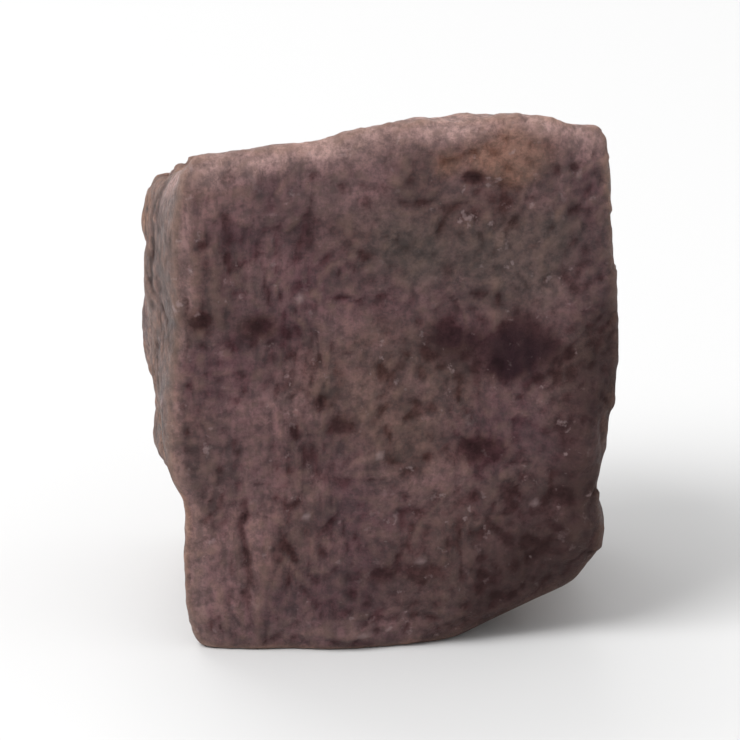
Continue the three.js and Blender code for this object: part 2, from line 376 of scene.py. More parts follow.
@dataclass(frozen=True)
class Relief:
    """The dried muscle's relief, as heights outwards from the solid's smooth surface."""

    layers: tuple[Layer, ...] = (
        Layer(
            Pattern.GROOVES, (1.6, 1.6, 8.0), -0.16, Spread(left=0.15, front=0.08, high=0.0),
            seed=5.0, width=0.24, patch=6.0, bare=0.0,
        ),
        Layer(
            Pattern.WAVES, (0.85, 0.85, 7.0), 0.19,
            Spread(left=0.25, right=0.7, front=0.5, back=0.7, high=0.0),
            seed=8.0, bare=0.2, right_of_ribs=0.15,
        ),
        Layer(
            Pattern.GROOVES, (0.62, 0.62, 4.0), -0.10, Spread(left=0.3, right=0.5, front=0.6, high=0.0),
            seed=11.0, width=0.28, bare=0.2, right_of_ribs=0.2,
        ),
        Layer(
            Pattern.GROOVES, (3.6, 3.6, 3.2), -0.36, Spread(left=0.1, front=0.04, high=0.7),
            seed=2.0, width=0.15, patch=6.0, bare=0.0, crumpled=True,
        ),
        Layer(
            Pattern.WAVES, (2.4, 2.4, 2.0), 0.18, Spread(left=0.35, front=0.6, high=0.8),
            seed=19.0, bare=1.0,
        ),
        Layer(
            Pattern.WAVES, (0.95, 0.95, 0.9), 0.085, Spread(left=0.4, front=0.7),
            seed=13.0, patch=2.6, bare=0.3, crumpled=True,
        ),
        Layer(
            Pattern.GROOVES, (1.0, 1.0, 1.6), -0.12, Spread(left=0.1, right=0.3, front=0.0, back=0.3),
            seed=17.0, width=0.36, patch=3.5, bare=0.0, crumpled=True,
        ),
        Layer(Pattern.WAVES, (0.45, 0.45, 0.5), 0.05, Spread(), seed=23.0, bare=0.6),
        Layer(
            Pattern.STEPS, (5.0, 5.0, 3.2), 0.28, Spread(left=0.2, front=0.15, high=0.5),
            seed=61.0, width=0.1, bare=1.0,
        ),
        Layer(
            Pattern.STEPS, (1.5, 1.5, 2.0), 0.09, Spread(left=0.4, front=0.6),
            seed=67.0, width=0.16, bare=1.0, crumpled=True,
        ),
        Layer(
            Pattern.PORES, (1.7, 1.7, 2.0), -0.2, Spread(left=0.4, front=0.7, high=0.8),
            seed=71.0, width=0.16, bare=0.5,
        ),
    )
    spots: tuple[Spot, ...] = (
        Spot(-8.2, 15.5, 0.60, 0.55, -0.12),
        Spot(-5.6, 15.1, 0.80, 0.45, -0.12),
        Spot(-2.9, 11.6, 0.70, 0.60, -0.10),
        Spot(-2.1, 10.6, 0.80, 0.70, -0.14),
        Spot(-0.2, 12.8, 0.50, 0.45, -0.14),
        Spot(1.2, 11.5, 0.45, 0.40, -0.08),
        Spot(3.8, 21.6, 0.65, 0.45, -0.20),
        Spot(4.8, 16.1, 0.35, 0.60, -0.08),
        Spot(4.2, 9.2, 1.30, 0.80, -0.12),
        Spot(-0.2, 3.7, 0.90, 0.40, -0.10),
        Spot(-8.2, 19.0, 0.50, 0.45, -0.10),
        Spot(-6.4, 21.2, 2.30, 0.80, 0.14),
        Spot(-1.4, 22.0, 1.60, 0.80, 0.10),
    )
    strokes: tuple[Stroke, ...] = (
        Stroke((-8.85, 21.0), (-8.8, 8.0), 0.22, -0.08),
        Stroke((-8.3, 20.0), (-5.4, 20.2), 0.30, -0.05),
        Stroke((-6.3, 7.4), (-6.2, 1.4), 0.26, -0.22),
        Stroke((-7.7, 6.6), (-7.5, 1.6), 0.45, 0.14),
        Stroke((-5.2, 6.8), (-5.4, 1.8), 0.40, 0.12),
        Stroke((-2.9, 16.4), (-0.9, 16.2), 0.20, -0.12),
        Stroke((8.2, 14.6), (9.4, 10.9), 0.45, 0.08),
        Stroke((9.4, 10.9), (7.9, 7.4), 0.45, 0.08),
        Stroke((5.8, 12.0), (5.6, 6.2), 0.40, -0.08),
        Stroke((-4.6, 4.6), (-3.3, 3.0), 0.22, 0.10),
        Stroke((-4.0, 0.9), (-0.4, 0.8), 0.30, 0.16),
    )
    gentle: Warp = Warp(4.0, 0.5, 3.0)
    strong: Warp = Warp(2.4, 0.6, 7.0)
    ragged: Warp = Warp(0.9, 0.16, 73.0)

    def height(self, place: Vector, shares: dict[Side, float], frontness: float) -> float:
        """The relief's height at a point.

        Args:
            place: The point on the smooth surface.
            shares: How much the point belongs to each side.
            frontness: How near the front it lies, from 0 to 1.

        Returns:
            The height outwards, mostly negative, because grooves go in.
        """
        grown = self.gentle.at(place)
        crumpled = self.strong.at(place)
        total = sum(layer.at(grown, crumpled, shares) for layer in self.layers)
        ragged = self.ragged.at(place)
        features = sum(feature.at(ragged.x, ragged.z) for feature in self.spots + self.strokes)
        return total + frontness * features


@dataclass(frozen=True)
class StainsAndPaintedLight:
    """Where the front takes another colour, by the mark that carries it, painted shade and light among
    them.
    """

    places: tuple[tuple[Mark, tuple[Spot, ...]], ...] = (
        (Mark.FAT, (Spot(5.4, 22.6, 2.9, 1.7), Spot(2.9, 22.3, 1.4, 1.1, 0.8))),
        (Mark.SMUDGE, (Spot(5.7, 13.8, 2.6, 2.2, 1.0), Spot(3.4, 14.6, 2.4, 1.4, 0.5))),
        (Mark.GREY, (Spot(5.6, 17.9, 4.6, 3.2), Spot(1.4, 18.6, 3.4, 2.6, 0.8))),
        # Pinkish patches of the cut face; the spot at the right end of its top edge is a painted
        # highlight there.
        (
            Mark.PINK,
            (
                Spot(-6.7, 20.2, 2.8, 1.0, 0.8), Spot(-1.6, 21.7, 3.0, 1.8, 1.3),
                Spot(7.9, 23.0, 2.6, 1.8, 1.0), Spot(-6.6, 8.0, 3.0, 6.0, 0.3),
                Spot(-7.4, 3.4, 1.8, 4.4, 0.45), Spot(-3.0, 1.1, 5.0, 0.8, 0.6),
            ),
        ),
        (
            Mark.BROWN,
            (Spot(0.6, 12.4, 5.6, 6.0), Spot(-0.8, 19.0, 4.0, 3.6, 0.7), Spot(8.6, 11.0, 2.0, 6.0)),
        ),
        # Painted shade along the front's right edge and over its lower part, for shade from pieces
        # beside it and from the face turning away from the light.
        (
            Mark.PAINTED_SHADE,
            (
                Spot(10.6, 7.5, 5.2, 13.5, 1.3), Spot(7.0, 2.5, 7.5, 7.5, 0.8),
                Spot(1.6, 3.2, 6.0, 4.0, 0.4), Spot(3.2, 13.6, 2.4, 1.6, 0.5),
            ),
        ),
        # Painted shade in and around the pits, which are shallow in the relief.
        (
            Mark.PIT_SHADE,
            (
                Spot(-8.2, 15.5, 1.1, 1.0, 0.6), Spot(-5.6, 15.1, 1.6, 1.0, 0.7),
                Spot(3.8, 21.6, 0.8, 0.6), Spot(-2.9, 11.6, 0.9, 0.8, 0.4),
                Spot(-2.1, 10.6, 1.1, 1.0, 0.5), Spot(-0.2, 12.8, 0.6, 0.5, 0.5),
                Spot(4.2, 9.2, 1.9, 1.2, 0.7), Spot(-0.2, 3.7, 1.2, 0.6, 0.4),
                Spot(4.8, 16.1, 0.4, 0.8, 0.3),
            ),
        ),
        # Painted glints: pale flecks.
        (
            Mark.GLINT_SPECK,
            (
                Spot(-0.3, 9.3, 0.28, 0.28), Spot(-3.5, 6.4, 0.26, 0.26),
                Spot(6.5, 6.5, 0.3, 0.24, 0.8), Spot(-3.8, 16.3, 0.22, 0.3, 0.7),
                Spot(1.5, 4.2, 0.34, 0.22, 0.7), Spot(-1.1, 0.8, 0.55, 0.2, 0.7),
            ),
        ),
    )
    small: frozenset[Mark] = frozenset({Mark.PIT_SHADE, Mark.GLINT_SPECK})
    ragged: Warp = Warp(2.0, 0.5, 31.0)
    crisp: Warp = Warp(2.0, 0.1, 31.0)
    gain: float = 1.5

    def at(self, place: Vector) -> dict[Mark, float]:
        """How strongly each mark covers a point, ragged at its edges, or nearly crisp if small.

        Args:
            place: The point on the front.

        Returns:
            The strength of each mark, from 0 to 1.
        """
        ragged = self.ragged.at(place)
        crisp = self.crisp.at(place)
        result = {}
        for mark, spots in self.places:
            point = crisp if mark in self.small else ragged
            result[mark] = min(1.0, self.gain * max(spot.at(point.x, point.z) for spot in spots))
        return result


@dataclass(frozen=True)
class Skin:
    """The greyed skin on the left side, above the step in it, greyest along the cut front."""

    step_height: float = 5.6
    step_drop: float = 0.22
    blend: float = 0.8
    ragged: float = 2.5
    ragged_wavelength: float = 3.5
    full_to: float = -6.0
    faint_from: float = 2.0
    faint_share: float = 0.25
    side_none: float = 0.15
    side_full: float = 0.6
    seed: float = 83.0

    def at(self, place: Vector, shares: dict[Side, float]) -> float:
        """How much a point belongs to the skin.

        Args:
            place: The point on the surface.
            shares: How much it belongs to each side.

        Returns:
            The share, from 0 to 1, that fades from the front to the back.
        """
        foot = self.step_height - self.step_drop * place.y
        ragged = place.y + self.ragged * wave(place, (self.ragged_wavelength,) * 3, self.seed)
        near = ease(-ragged, -self.faint_from, -self.full_to)
        fade = self.faint_share + (1.0 - self.faint_share) * near
        leftness = ease(shares[Side.LEFT], self.side_none, self.side_full)
        return fade * leftness * ease(place.z, foot, foot + self.blend)


@dataclass(frozen=True)
class RimHighlight:
    """Painted highlight on the front's upward-facing top edge and, more faintly, its left one, in
    patches.

    Each range holds how far a point faces that way, as a cosine, where the highlight begins and is
    full or where it begins to fade and is gone.
    """

    top_rise: tuple[float, float] = (0.04, 0.5)
    left_rise: tuple[float, float] = (0.15, 0.4)
    left_fall: tuple[float, float] = (0.5, 0.85)
    left_share: float = 0.35
    patch: float = 1.6
    bare: float = 0.6
    seed: float = 97.0

    def at(self, place: Vector, outwards: Vector) -> float:
        """How much painted highlight a point gets.

        Args:
            place: The point on the surface.
            outwards: The way that the smoother surface faces there.

        Returns:
            The share, from 0 to 1.
        """
        left_edge = ease(-outwards.x, *self.left_rise) * (1.0 - ease(-outwards.x, *self.left_fall))
        edge = max(ease(outwards.z, *self.top_rise), self.left_share * left_edge)
        return edge * patches(place, self.patch, self.seed, self.bare)


@dataclass(frozen=True)
class Depths:
    """How strongly each millimetre above or below a smoother surface shows in the colour."""

    # The crease and hollow shares set painted shade, and the crest share a painted highlight.
    fine_crease: float = 4.0
    fine_crest: float = 5.0
    fold: float = 9.0
    hollow: float = 2.6

    def crease(self, fine_height: float, fold_height: float) -> float:
        """How much of a crease a point at these heights is, from 0 to 1."""
        return min(1.0, max(0.0, -self.fine_crease * fine_height - self.fold * fold_height))

    def crest(self, fine_height: float, fold_height: float) -> float:
        """How much of a crest a point at these heights is, from 0 to 1."""
        return min(1.0, max(0.0, self.fine_crest * fine_height + self.fold * fold_height))

    def hollowness(self, broad_height: float) -> float:
        """How much of a broad hollow a point at this height is in, from 0 to 1."""
        return min(1.0, max(0.0, -self.hollow * broad_height))


@dataclass
class VenisonCube:
    """The piece of dried venison: its surface, and the marks on it that its finish reads."""

    name: str = "venison_cube_surface"
    node: str = "venison_cube"
    merge_distance: float = 0.002
    voxel: float = 0.17
    side_sharpness: float = 5.0
    smoothing_step: float = 0.5
    facet_smoothing: int = 5
    broad_smoothing: int = 45
    accent: float = 0.42
    accent_lowest: float = -0.5
    accent_highest: float = 0.12
    fine_smoothing: int = 3
    crease_smoothing: int = 14
    flat_height: float = 0.12
    front_from: float = 5.0
    front_to: float = 6.8
    front_ragged: float = 0.9
    front_wavelength: float = 1.9
    front_seed: float = 91.0
    clean_edge: float = 0.55
    top_limit: float = 0.05
    top_sink: float = 0.25
    faint_fibres: float = 0.15
    relief: Relief = field(default_factory=Relief)
    # Coloured patches on the front, with painted shade, a painted highlight and painted glints among
    # them.
    stains_and_painted_light: StainsAndPaintedLight = field(default_factory=StainsAndPaintedLight)
    skin: Skin = field(default_factory=Skin)
    # The painted highlight along the front's top and left edges.
    rim_highlight: RimHighlight = field(default_factory=RimHighlight)
    depths: Depths = field(default_factory=Depths)

    def build(self) -> bpy.types.Object:
        """Makes the piece's mesh inside its solid.

        Returns:
            The piece, at the origin, in metres.
        """
        piece = self.remeshed(self.merged_copy())
        surface = bmesh.new()
        surface.from_mesh(piece.data)
        self.smooth(surface, self.facet_smoothing)
        shares = self.carve(surface)
        self.keep_inside(surface)
        surface.normal_update()
        self.mark(surface, shares)
        surface.to_mesh(piece.data)
        surface.free()
        for polygon in piece.data.polygons:
            polygon.use_smooth = True
        return piece

    def merged_copy(self) -> bpy.types.Object:
        """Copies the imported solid's mesh and merges its shared corners.

        Returns:
            The copy, in the scene.
        """
        joined = bmesh.new()
        joined.from_mesh(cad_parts[self.node].data)
        bmesh.ops.remove_doubles(joined, verts=joined.verts, dist=self.merge_distance * MM)
        mesh = bpy.data.meshes.new(self.name)
        joined.to_mesh(mesh)
        joined.free()
        mesh.materials.clear()
        piece = bpy.data.objects.new(self.name, mesh)
        bpy.context.scene.collection.objects.link(piece)
        return piece

    def remeshed(self, piece: bpy.types.Object) -> bpy.types.Object:
        """Gives the piece an even, fine mesh in place of the solid's triangles.

        Args:
            piece: The merged copy.

        Returns:
            The same piece.
        """
        remesh = piece.modifiers.new("fine_mesh", "REMESH")
        remesh.mode = "VOXEL"
        remesh.voxel_size = self.voxel * MM
        depsgraph = bpy.context.evaluated_depsgraph_get()
        fine = bpy.data.meshes.new_from_object(piece.evaluated_get(depsgraph))
        piece.modifiers.clear()
        piece.data = fine
        fine.name = self.name
        return piece

    def smooth(self, surface: bmesh.types.BMesh, passes: int) -> None:
        """Relaxes the surface.

        Args:
            surface: The surface, which is changed.
            passes: How many times its points move towards their neighbours.
        """
        axes = {"use_axis_x": True, "use_axis_y": True, "use_axis_z": True}
        for _ in range(passes):
            bmesh.ops.smooth_vert(surface, verts=surface.verts, factor=self.smoothing_step, **axes)

    def smoothed_copy(self, surface: bmesh.types.BMesh, passes: int) -> list[tuple[Vector, Vector]]:
        """Where the points would be on a smoother surface.

        Args:
            surface: The surface, which stays as it is.
            passes: How many times the smoother one is relaxed.

        Returns:
            Each point's place on it and the way that it faces there.
        """
        softer = surface.copy()
        self.smooth(softer, passes)
        softer.normal_update()
        result = [(vert.co.copy(), vert.normal.copy()) for vert in softer.verts]
        softer.free()
        return result

    def side_shares(self, outwards: Vector) -> dict[Side, float]:
        """How much a point belongs to each side.

        Args:
            outwards: The way that it faces.

        Returns:
            The shares, which add up to 1.
        """
        weights = {side: max(0.0, outwards.dot(side.value)) ** self.side_sharpness for side in Side}
        total = sum(weights.values())
        return {side: weight / total for side, weight in weights.items()}

    def frontness(self, place: Vector) -> float:
        """How near the front a point lies, from 0 to 1, with a ragged border behind it."""
        ragged = self.front_ragged * wave(place, (self.front_wavelength,) * 3, self.front_seed)
        return ease(ragged - place.y, self.front_from, self.front_to)

    def carve(self, surface: bmesh.types.BMesh) -> list[dict[Side, float]]:
        """Deepens the folds of the solid and adds the fine relief.

        Args:
            surface: The smooth surface, in metres.

        Returns:
            Each point's shares of the sides.
        """
        broad = self.smoothed_copy(surface, self.broad_smoothing)
        surface.normal_update()
        shares = []
        moves = []
        for vert, (soft_place, soft_normal) in zip(surface.verts, broad):
            share = self.side_shares(soft_normal)
            place = vert.co / MM
            above_table = min(1.0, max(0.0, place.z / self.flat_height))
            frontness = self.frontness(place)
            calm = 1.0 - self.clean_edge * frontness * (1.0 - share[Side.FRONT])
            accent = self.accent * (vert.co - soft_place).dot(vert.normal) / MM
            accent = max(self.accent_lowest, min(self.accent_highest, accent))
            accent *= 1.0 - share[Side.FRONT]
            height = calm * (accent + self.relief.height(place, share, frontness))
            sink = max(0.0, height - self.top_limit) + self.top_sink * (1.0 - frontness)
            height -= share[Side.HIGH] * sink
            moves.append(vert.normal * (height * above_table * MM))
            shares.append(share)
        for vert, move in zip(surface.verts, moves):
            vert.co += move
        return shares

    def keep_inside(self, surface: bmesh.types.BMesh) -> None:
        """Holds every point inside the solid's box.

        Args:
            surface: The surface, which is changed.
        """
        low, high = cad_box
        for vert in surface.verts:
            for axis in range(3):
                vert.co[axis] = min(max(vert.co[axis], low[axis]), high[axis])

    def mark(self, surface: bmesh.types.BMesh, shares: list[dict[Side, float]]) -> None:
        """Writes the marks that the finish reads.

        Args:
            surface: The carved surface, in metres.
            shares: Each point's shares of the sides.
        """
        layers = {mark: surface.verts.layers.float.new(mark.value) for mark in Mark}
        fine = self.smoothed_copy(surface, self.fine_smoothing)
        creased = self.smoothed_copy(surface, self.crease_smoothing)
        broad = self.smoothed_copy(surface, self.broad_smoothing)
        for index, vert in enumerate(surface.verts):
            place = vert.co / MM
            cut = shares[index][Side.FRONT]
            frontness = self.frontness(place)
            fine_height = (vert.co - fine[index][0]).dot(vert.normal) / MM
            fold_height = (vert.co - creased[index][0]).dot(vert.normal) / MM
            broad_height = (vert.co - broad[index][0]).dot(vert.normal) / MM
            values = {mark: frontness * value for mark, value in self.stains_and_painted_light.at(place).items()}
            values |= {
                # Shares of painted shade in creases and hollows and of a painted highlight on crests.
                Mark.CREASE: self.depths.crease(fine_height, fold_height),
                Mark.CREST_HIGHLIGHT: self.depths.crest(fine_height, fold_height),
                Mark.HOLLOW_SHADE: self.depths.hollowness(broad_height),
                Mark.CUT: cut,
                Mark.FIBRE: 1.0 - cut * (1.0 - RIBS.at(place.x, self.faint_fibres)),
                # Share of painted highlight along the front's top and left edges.
                Mark.RIM_HIGHLIGHT: frontness * self.rim_highlight.at(place, broad[index][1]),
                Mark.SKIN: self.skin.at(place, shares[index]),
            }
            for mark, value in values.items():
                vert[layers[mark]] = value


def linear(colour: Rgb) -> tuple[float, float, float, float]:
    """A colour as the shader takes it.

    Args:
        colour: Its red, green and blue from 0 to 255, as on screen (the sRGB curve).

    Returns:
        Its red, green and blue in linear light, and 1 for no transparency.
    """
    parts = [value / 255.0 for value in colour]
    curved = [part / 12.92 if part <= 0.04045 else ((part + 0.055) / 1.055) ** 2.4 for part in parts]
    return (curved[0], curved[1], curved[2], 1.0)


@dataclass(frozen=True)
class Blotches:
    """Noise in the finish, stretched smoothly from one range of it to a range of values.

    The scale is how many bumps there are to the millimetre.
    """

    scale: float
    detail: float
    low: float
    high: float
    to_low: float = 0.0
    to_high: float = 1.0
    roughness: float = FINE_SHARE


@dataclass(frozen=True)
class Coat:
    """A colour laid over the ones below it where the surface's mark says so."""

    mark: Mark
    strength: float
    colour: Rgb


class NodeBuilder:
    """Adds nodes to a material and joins them."""

    def __init__(self, name: str) -> None:
        """Starts an empty material.

        Args:
            name: The material's name.
        """
        self.material = bpy.data.materials.new(name)
        self.material.use_nodes = True
        self.tree = self.material.node_tree
        self.tree.nodes.clear()

    def add(
        self, kind: str, inputs: dict[str, object] | None = None, **settings: object
    ) -> bpy.types.Node:
        """Adds one node.

        Args:
            kind: The node's type name.
            inputs: Its inputs by name, each a value or the socket that feeds it.
            settings: Its properties.

        Returns:
            The new node.
        """
        node = self.tree.nodes.new(kind)
        for key, value in settings.items():
            setattr(node, key, value)
        for key, value in (inputs or {}).items():
            self.feed(node.inputs[key], value)
        return node

    def feed(self, socket: Socket, value: object) -> None:
        """Joins a socket to the one that feeds it, or sets its value.

        Args:
            socket: The node's input.
            value: The output that feeds it, or a plain value.
        """
        if isinstance(value, Socket):
            self.tree.links.new(value, socket)
        else:
            socket.default_value = value

    def mark(self, mark: Mark) -> Socket:
        """One of the surface's own values."""
        return self.add("ShaderNodeAttribute", attribute_name=mark.value).outputs["Fac"]

    def noise(
        self, vector: Socket, scale: float, detail: float, roughness: float = FINE_SHARE
    ) -> Socket:
        """Noise over the surface.

        Args:
            vector: The place.
            scale: How many bumps there are to the millimetre.
            detail: How many finer noises lie on the first.
            roughness: How strong the finer ones are.

        Returns:
            The noise, from 0 to 1.
        """
        inputs = {"Vector": vector, "Scale": scale, "Detail": detail, "Roughness": roughness}
        return self.add("ShaderNodeTexNoise", inputs, noise_dimensions="3D").outputs["Fac"]

    def spread(
        self, value: Socket, low: float, high: float, to_low: float = 0.0, to_high: float = 1.0
    ) -> Socket:
        """A value stretched smoothly from one range to another.

        Args:
            value: The value.
            low: Where the first range starts.
            high: Where it ends.
            to_low: What the start becomes.
            to_high: What the end becomes.

        Returns:
            The stretched value, held within the second range.
        """
        inputs = {"Value": value, "From Min": low, "From Max": high, "To Min": to_low, "To Max": to_high}
        node = self.add("ShaderNodeMapRange", inputs, interpolation_type="SMOOTHSTEP")
        return node.outputs["Result"]

    def scaled(self, vector: Socket, scale: tuple[float, float, float]) -> Socket:
        """A place, scaled along each axis."""
        return self.add("ShaderNodeMapping", {"Vector": vector, "Scale": scale}).outputs["Vector"]

    def blotches(self, vector: Socket, kind: Blotches) -> Socket:
        """One kind of blotches over the surface."""
        level = self.noise(vector, kind.scale, kind.detail, kind.roughness)
        return self.spread(level, kind.low, kind.high, kind.to_low, kind.to_high)

    def times(self, first: object, second: object) -> Socket:
        """The product of two values."""
        return self.combine("MULTIPLY", first, second)

    def plus(self, first: object, second: object) -> Socket:
        """The sum of two values."""
        return self.combine("ADD", first, second)

    def combine(self, operation: str, first: object, second: object) -> Socket:
        """Two values put through one sum.

        Args:
            operation: The node's name for the sum.
            first: The first value.
            second: The second value.

        Returns:
            The result.
        """
        node = self.add("ShaderNodeMath", operation=operation)
        self.feed(node.inputs[0], first)
        self.feed(node.inputs[1], second)
        return node.outputs[0]

    def vein(self, vector: Socket, scale: float) -> Socket:
        """Wandering lines over the surface.

        Args:
            vector: The place.
            scale: How many bumps the noise behind them has to the millimetre.

        Returns:
            0 on the lines, growing away from them.
        """
        level = self.plus(self.noise(vector, scale, 3.0), -0.5)
        return self.add("ShaderNodeMath", {"Value": level}, operation="ABSOLUTE").outputs[0]

    def shade(self, colour: object, factor: Socket) -> Socket:
        """A colour made darker or lighter.

        Args:
            colour: The colour.
            factor: What it is multiplied by.

        Returns:
            The new colour.
        """
        inputs = {"Red": factor, "Green": factor, "Blue": factor}
        grey = self.add("ShaderNodeCombineColor", inputs).outputs["Color"]
        return self.mix(1.0, colour, grey, "MULTIPLY")

    def mix(self, share: object, first: object, second: object, blend: str = "MIX") -> Socket:
        """Two colours mixed.

        Args:
            share: How much of the second colour, from 0 to 1.
            first: The colour below.
            second: The colour above.
            blend: How the second is laid over the first.

        Returns:
            The mixed colour.
        """
        node = self.add("ShaderNodeMix", data_type="RGBA", blend_type=blend)
        self.feed(node.inputs["Factor"], share)
        self.feed(node.inputs[COLOUR_BELOW], first)
        self.feed(node.inputs[COLOUR_ABOVE], second)
        return node.outputs[COLOUR_MIXED]

    def coated(self, colour: Socket, coats: tuple[Coat, ...]) -> Socket:
        """A colour with coats laid over it in turn.

        Args:
            colour: The colour below.
            coats: The coats, the lowest first.

        Returns:
            The colour with the coats on it.
        """
        for coat in coats:
            share = self.times(self.mark(coat.mark), coat.strength)
            colour = self.mix(share, colour, linear(coat.colour))
        return colour


@dataclass(frozen=True)
class DriedMeatFinish:
    """Dark purple-brown dried muscle, with fat, a smudge, tinted patches and painted light.

    Painted highlights lie on its crests and along the front's top and left edges, painted glints in
    its pale flecks, and painted shade in its creases, hollows, pits and fine grain and along the
    front's right edge and lower part. Shares that come in pairs hold on the sides and on the cut
    front.
    """

    name: str = "dried_meat"
    purple: Rgb = (95, 60, 66)
    warm: Rgb = (97, 68, 62)
    pink: Rgb = (134, 98, 99)
    umber: Rgb = (102, 69, 63)
    bark: Rgb = (134, 98, 87)
    tan: Rgb = (188, 147, 125)
    # Darkest brown: painted shade in creases and hollows, and the dark crumbs' own colour.
    deep: Rgb = (34, 19, 20)
    # Tan: a painted highlight on crests, and the pale crumbs' own colour.
    crest: Rgb = (178, 139, 121)
    # Painted highlight along the front's top and left edges.
    rim_highlight: Rgb = (200, 163, 157)
    skin: Rgb = (96, 77, 73)
    fat: Rgb = (138, 97, 78)
    ochre: Rgb = (146, 98, 70)
    sinew: Rgb = (172, 142, 130)
    grey: Rgb = (84, 68, 62)
    # Painted shade on the front's right edge and lower part.
    shade: Rgb = (58, 40, 40)
    smudge: Rgb = (50, 31, 38)
    # Painted shade in the pits.
    pit_shade: Rgb = (50, 30, 30)
    # Painted glints in the pale flecks.
    glint_speck: Rgb = (190, 164, 164)

    fibre_stretch: float = 0.14
    fibre_noise: tuple[float, float, float] = (3.0, 3.0, 0.6)
    fibre_height: float = 0.4
    rough_noise: tuple[float, float, float] = (3.0, 8.0, 0.8)
    rough_height: float = 0.8
    rough_base: float = 0.1
    grain_depth: float = 0.6
    # Painted shade and highlight from the fine grain's height.
    grain_relief_shade: tuple[float, float, float, float] = (0.41, 0.59, 0.74, 1.25)

    front_warmth: Blotches = Blotches(0.16, 2.0, 0.38, 0.64, 0.0, 0.6)
    front_pink: Blotches = Blotches(0.42, 4.0, 0.46, 0.72, 0.0, 0.55, roughness=0.6)
    brown_share: float = 0.35
    pink_share: float = 0.8

    side_bark: Blotches = Blotches(0.2, 3.0, 0.36, 0.62)
    side_tan: Blotches = Blotches(0.45, 5.0, 0.48, 0.7, 0.0, 0.65, roughness=0.65)
    side_plum: Blotches = Blotches(0.17, 3.0, 0.5, 0.4, 0.0, 0.6, roughness=0.6)
    side_fat: Blotches = Blotches(0.22, 3.0, 0.56, 0.66, 0.0, 0.5, roughness=0.6)
    sinew_scale: float = 0.3
    sinew_half_width: float = 0.02
    sinew_share: float = 0.28
    dark_crumbs: Blotches = Blotches(1.5, 5.0, 0.46, 0.36, 0.0, 0.5, roughness=0.7)
    pale_crumbs: Blotches = Blotches(1.5, 5.0, 0.54, 0.66, 0.0, 0.45, roughness=0.7)

    streaks: Blotches = Blotches(1.3, 4.0, 0.3, 0.7, -0.14, 0.14, roughness=0.6)
    broad_tones: Blotches = Blotches(0.28, 2.0, 0.34, 0.66, 0.88, 1.14)
    fine_tones: Blotches = Blotches(0.75, 5.0, 0.32, 0.68, 0.78, 1.22, roughness=0.65)
    crest_shares: tuple[float, float] = (0.7, 0.35)
    crease_shares: tuple[float, float] = (0.8, 0.35)
    flecks: Blotches = Blotches(1.6, 3.0, 0.62, 0.72, 0.0, 0.45, roughness=0.6)
    fleck_patches: Blotches = Blotches(0.3, 2.0, 0.42, 0.6, 0.25, 1.0)
    speck_share: float = 0.45

    satin: Blotches = Blotches(0.9, 5.0, 0.35, 0.65, 0.42, 0.74, roughness=0.7)
    shade_dullness: float = 0.6
    full_dullness: float = 0.9
    gloss_range: tuple[float, float] = (0.5, 0.1)

    def build(self) -> bpy.types.Material:
        """Makes the material.

        Returns:
            The finished material.
        """
        nodes = NodeBuilder(self.name)
        place = nodes.add("ShaderNodeTexCoord").outputs["Object"]
        mm = nodes.scaled(place, (1.0 / MM,) * 3)
        along = nodes.scaled(mm, (1.0, 1.0, self.fibre_stretch))
        grain = self.grain(nodes, mm, along)
        bump = {"Height": grain, "Strength": 1.0, "Distance": self.grain_depth * MM}
        shader = nodes.add(
            "ShaderNodeBsdfPrincipled",
            {
                "Base Color": self.colour(nodes, mm, along, grain),
                "Roughness": nodes.blotches(mm, self.satin),
                "Normal": nodes.add("ShaderNodeBump", bump).outputs["Normal"],
                "Specular IOR Level": self.gloss(nodes),
            },
        )
        nodes.add("ShaderNodeOutputMaterial", {"Surface": shader.outputs["BSDF"]})
        return nodes.material

    def grain(self, nodes: NodeBuilder, mm: Socket, along: Socket) -> Socket:
        """The finest relief, below the mesh: hair-fine fibres and grain.

        Args:
            nodes: The material's nodes.
            mm: The place in millimetres.
            along: The same, drawn out along the fibres.

        Returns:
            The height, around 0.5.
        """
        hairs = nodes.plus(nodes.noise(along, *self.fibre_noise), -0.5)
        fibres = nodes.times(nodes.times(hairs, nodes.mark(Mark.FIBRE)), self.fibre_height)
        rough = nodes.times(nodes.noise(mm, *self.rough_noise), self.rough_height)
        return nodes.plus(fibres, nodes.plus(rough, self.rough_base))

    def cut_face(self, nodes: NodeBuilder, mm: Socket) -> Socket:
        """The colour of the cut front: mauve, warmer in places, with pinkish blotches.

        Args:
            nodes: The material's nodes.
            mm: The place in millimetres.

        Returns:
            The colour.
        """
        brown = nodes.times(nodes.mark(Mark.BROWN), self.brown_share)
        warmth = nodes.plus(nodes.blotches(mm, self.front_warmth), brown)
        colour = nodes.mix(warmth, linear(self.purple), linear(self.warm))
        # The marked pink includes a painted highlight at the right end of the front's top edge.
        pink = nodes.times(nodes.mark(Mark.PINK), self.pink_share)
        pinkness = nodes.plus(nodes.blotches(mm, self.front_pink), pink)
        return nodes.mix(pinkness, colour, linear(self.pink))

